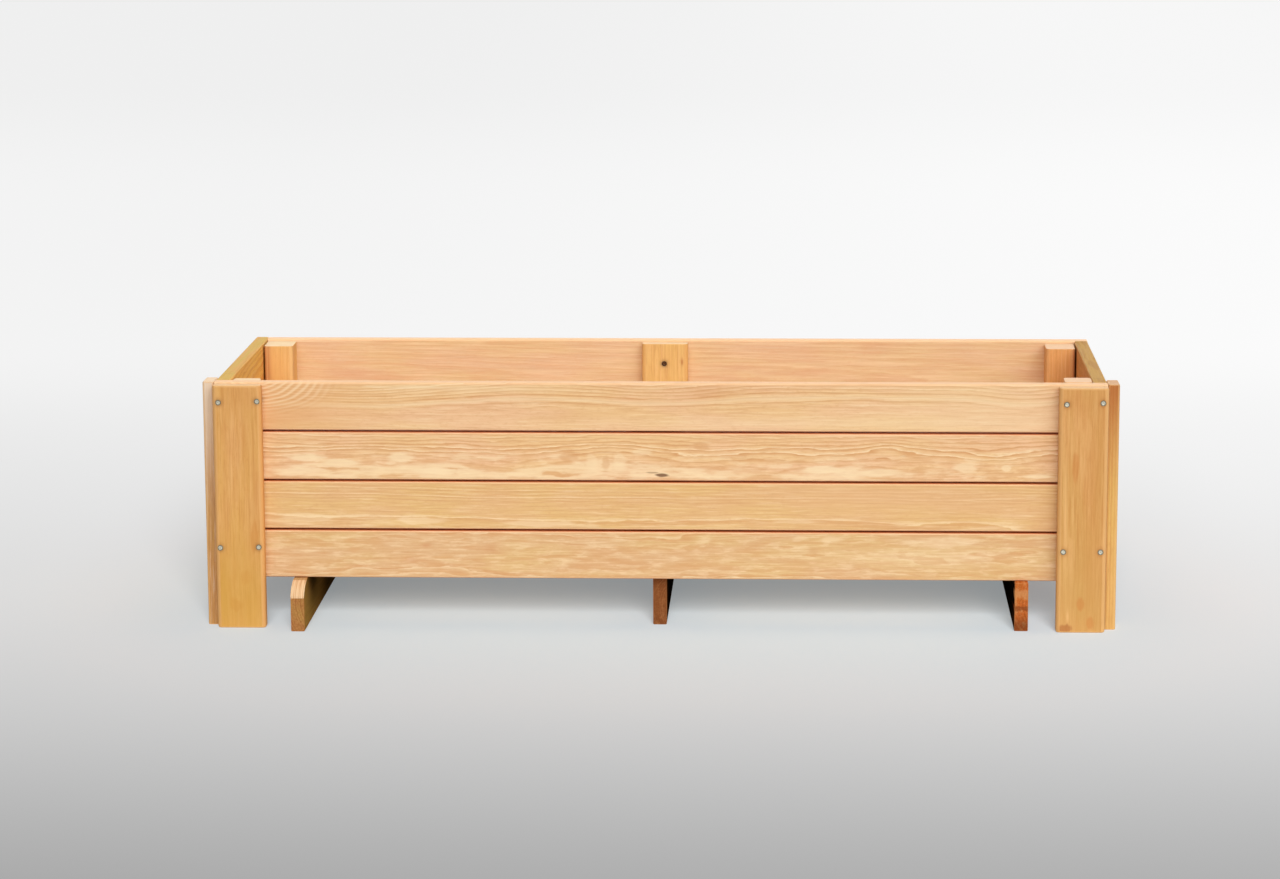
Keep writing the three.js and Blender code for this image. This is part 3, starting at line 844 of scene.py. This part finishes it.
# ---- bearers ----
NOSE_DROP = 21.0 * MM
NOSE_SLOPE = 46.0 * MM
NOSE_STEPS = 8


def saw_nose(shape, low, high):
    """Saws the left bearer's upper front corner round, as a quarter of an ellipse."""
    for step in range(NOSE_STEPS):
        turn = math.radians(90) * (step + 0.5) / NOSE_STEPS
        touch = Vector((0, low.y + NOSE_SLOPE * (1 - math.cos(turn)),
                        high.z - NOSE_DROP * (1 - math.sin(turn))))
        away = Vector((0, -NOSE_DROP * math.cos(turn), NOSE_SLOPE * math.sin(turn))).normalized()
        geometry = shape.verts[:] + shape.edges[:] + shape.faces[:]
        bmesh.ops.bisect_plane(shape, geom=geometry, dist=WELD, plane_co=touch,
                               plane_no=away, clear_outer=True)
        loose = [edge for edge in shape.edges if len(edge.link_faces) == 1]
        bmesh.ops.holes_fill(shape, edges=loose, sides=0)
    sharpen(shape)


# Painted shade on the bearers' sides: near black on the middle bearer's right side and the right bearer's
# left side; on the left bearer's right side a darker olive gold, with two marks that paint deeper shade
# towards the back and top.
BEARER_GRAIN = {
    "left": {
        "pith": (10, 60), "nose": 0.95, "end": 0.0, "shaded_flank": (1, 0.7), "shine": 0.0,
        "tints": {"base": colour(172, 128, 69), "gold": colour(182, 142, 77),
                  "nose": colour(233, 200, 158), "nose_line": colour(205, 150, 102),
                  "shaded_flank": colour(150, 116, 52), "shade": colour(18, 12, 4)},
        "marks": [("shade", 1.0, False, -112, 34, 62, 52), ("shade", 0.95, False, 70, 20, 150, 90)],
    },
    "middle": {
        "pith": (-8, 55), "end": 0.0, "shaded_flank": (1, 1.0), "shine": 0.0,
        "tints": {"base": colour(124, 67, 39), "gold": colour(136, 81, 44), "late": colour(96, 48, 24),
                  "blush": colour(116, 57, 32), "shaded_flank": colour(20, 13, 6)},
        "mottle": (0.4, 60, 90, 30, 6),
        "marks": [("gold", 0.7, False, -190, 0, 30, 60)],
    },
    "right": {
        "pith": (4, 50), "end": 0.0, "shaded_flank": (-1, 1.0), "shine": 0.0,
        "tints": {"shaded_flank": colour(20, 13, 5), "base": colour(198, 108, 46), "gold": colour(202, 118, 48),
                  "blush": colour(202, 100, 48), "late": colour(158, 76, 32)},
        "mottle": (0.5, 60, 90, 30, 6),
        # The cream mark at the top of the right bearer's front end is a painted highlight, as if a
        # sloping nose caught the light; this bearer is cut square. The other two marks make it darker in
        # the middle and towards the bottom.
        "marks": [
            ("knot", 0.6, False, -190, -26, 40, 12), ("fibre", 0.6, True, -190, -2, 40, 5),
            ("cream", 0.6, True, -190, 18, 30, 7),
        ],
    },
}
for place, grain in BEARER_GRAIN.items():
    node = f"bearer_{place}"
    board(node, "bearer", Y_BOARD, BEARER_ARRIS, {**plain_grain(node), **grain},
          worked=saw_nose if place == "left" else None)


# ---------------------------------------------------------------- stage, lamps and camera

FLOOR_REACH = 24.0
FLOOR_NEAREST_TONE = 161
FLOOR_TONES = [  # from and to a distance behind the planter's middle, and the tone reached there
    (-1.75, -0.15, 218), (-0.4, 2.2, 247), (4.5, 8.0, 243),
]
FLOOR_SLANT = 0.12  # how much brighter the floor is at the right than at the left
FLOOR_FAR_LEVELLED = 0.05  # how much of that is lost behind the planter
FLOOR_ENDS_GLOW = 0.055  # brighter beside the planter's two ends: painted light that lifts the planter's shadow there
FLOOR_OWN_SHARE = 0.3  # how much of the floor's colour shows whatever the light, near the planter
FLOOR_LIT_LEVEL = 0.70  # how bright the lamps alone would leave the floor
FLOOR_COOLED = (0.86, 0.95, 1.0, 1.0)  # takes the wood's warm glow off the floor near the planter


def floor_finish():
    """Plain pale floor, a little darker towards the camera, as the photograph's is."""
    finish = Finish("studio floor")
    place = finish.node("ShaderNodeTexCoord", {}, {}, "Object")
    parts = finish.node("ShaderNodeSeparateXYZ", {}, {0: place}, (0, 1, 2))
    across, back = parts[X], parts[Y]
    tone = colour(*[FLOOR_NEAREST_TONE] * 3)
    for start, end, level in FLOOR_TONES:
        tone = finish.mix(finish.ramp(back, start, end), tone, colour(*[level] * 3))
    away = finish.math("SQRT", across * across * 0.6 + back * back)
    far = finish.ramp(away, 0.35, 1.3)
    share = far * (1.0 - FLOOR_OWN_SHARE) + FLOOR_OWN_SHARE
    level = share + (1.0 - share) * FLOOR_LIT_LEVEL
    lean = FLOOR_SLANT - finish.ramp(back, 0.6, 1.8) * FLOOR_FAR_LEVELLED
    slant = 1.0 + (finish.ramp(across, -1.5, 1.5) - 0.5) * lean
    beside = finish.ramp(back, -0.5, 0.1) * (1.0 - finish.ramp(back, 0.4, 1.6))
    slant = slant + finish.ramp(abs(across), 0.6, 0.9) * beside * FLOOR_ENDS_GLOW
    past_end = finish.math("MAXIMUM", abs(across) - 0.4, 0.0) * 1.5
    from_wood = finish.math("SQRT", past_end * past_end + back * back)
    cool = finish.mix(finish.ramp(from_wood, 0.16, 0.6), FLOOR_COOLED, (1, 1, 1, 1))
    tone = finish.node("ShaderNodeVectorMath", {"operation": "MULTIPLY"}, {0: tone, 1: cool})
    tone = finish.node("ShaderNodeVectorMath", {"operation": "SCALE"},
                       {0: tone, "Scale": slant / level})
    lit = finish.node("ShaderNodeBsdfDiffuse", {}, {"Color": tone})
    plain = finish.node("ShaderNodeEmission", {}, {"Color": tone, "Strength": 1.0})
    seen, shine, glass = finish.node("ShaderNodeLightPath", {}, {}, (
        "Is Camera Ray", "Is Glossy Ray", "Is Transmission Ray"))
    share = (seen + shine + glass) * share
    both = finish.node("ShaderNodeMixShader", {}, {0: share, 1: lit, 2: plain})
    finish.node("ShaderNodeOutputMaterial", {}, {"Surface": both})
    return finish.material


def stage():
    """The floor, which is the whole of the scene round the planter."""
    shape = bmesh.new()
    bmesh.ops.create_grid(shape, x_segments=1, y_segments=1, size=FLOOR_REACH)
    floor = to_object("studio_floor", shape)
    floor.data.materials.append(floor_finish())
    return floor


def collection_of(name, members):
    """A group of pieces that some lamps are kept to."""
    group = bpy.data.collections.new(name)
    for member in members:
        group.objects.link(member)
    return group


def lamp(name, azimuth, elevation, spread, strength, lit):
    """A broad distant lamp. Azimuth 0 shines from the front, and 90 from the right."""
    data = bpy.data.lights.new(name, "SUN")
    data.energy = strength
    data.angle = math.radians(spread)
    source = bpy.data.objects.new(name, data)
    turn, rise = math.radians(azimuth), math.radians(elevation)
    towards = Vector((math.sin(turn) * math.cos(rise), -math.cos(turn) * math.cos(rise), math.sin(rise)))
    source.rotation_mode = "QUATERNION"
    source.rotation_quaternion = towards.to_track_quat("Z", "Y")
    bpy.context.scene.collection.objects.link(source)
    source.light_linking.receiver_collection = lit


PLANTER_LAMPS = [  # name, azimuth, elevation, spread, strength
    ("front lamp", 6, 30, 50, 1.56),
    ("right lamp", 46, 32, 40, 1.0),
    ("left lamp", -75, 28, 50, 0.35),
    ("overhead lamp", 0, 78, 50, 0.72),
    ("back lamp", 180, 32, 60, 1.15),
]
FLOOR_LAMP = ("floor lamp", 6, 27, 26, 3.7)
SKY_STRENGTH = 0.15


def lights(floor):
    """Five lamps for the planter, one for the floor, and a faint even light on both."""
    planter = collection_of("lit planter", pieces.values())
    ground = collection_of("lit floor", [floor])
    for setting in PLANTER_LAMPS:
        lamp(*setting, planter)
    lamp(*FLOOR_LAMP, ground)
    world = bpy.data.worlds.new("studio air")
    world.use_nodes = True
    sky = world.node_tree.nodes["Background"]
    sky.inputs["Color"].default_value = (1, 1, 1, 1)
    sky.inputs["Strength"].default_value = SKY_STRENGTH
    bpy.context.scene.world = world


def camera():
    """The photograph's camera."""
    data = bpy.data.cameras.new("photograph")
    data.sensor_width = SENSOR_WIDTH
    data.lens = FOCAL_PIXELS * SENSOR_WIDTH / FRAME_WIDTH
    data.shift_x = SHIFT_X
    data.shift_y = SHIFT_Y
    data.clip_end = 100.0
    looking = Vector((-math.sin(CAMERA_TURN) * math.cos(CAMERA_DIP),
                      math.cos(CAMERA_TURN) * math.cos(CAMERA_DIP), -math.sin(CAMERA_DIP)))
    right = Vector((math.cos(CAMERA_TURN), math.sin(CAMERA_TURN), 0))
    up = right.cross(looking)
    leaning = Matrix.Rotation(-CAMERA_ROLL, 3, looking)
    axes = [leaning @ right, leaning @ up, -looking]
    eye = bpy.data.objects.new("photograph", data)
    eye.matrix_world = Matrix.Translation(CAMERA_PLACE) @ Matrix(axes).transposed().to_4x4()
    bpy.context.scene.collection.objects.link(eye)
    bpy.context.scene.camera = eye


lights(stage())
camera()
bpy.context.scene.view_settings.view_transform = "Standard"
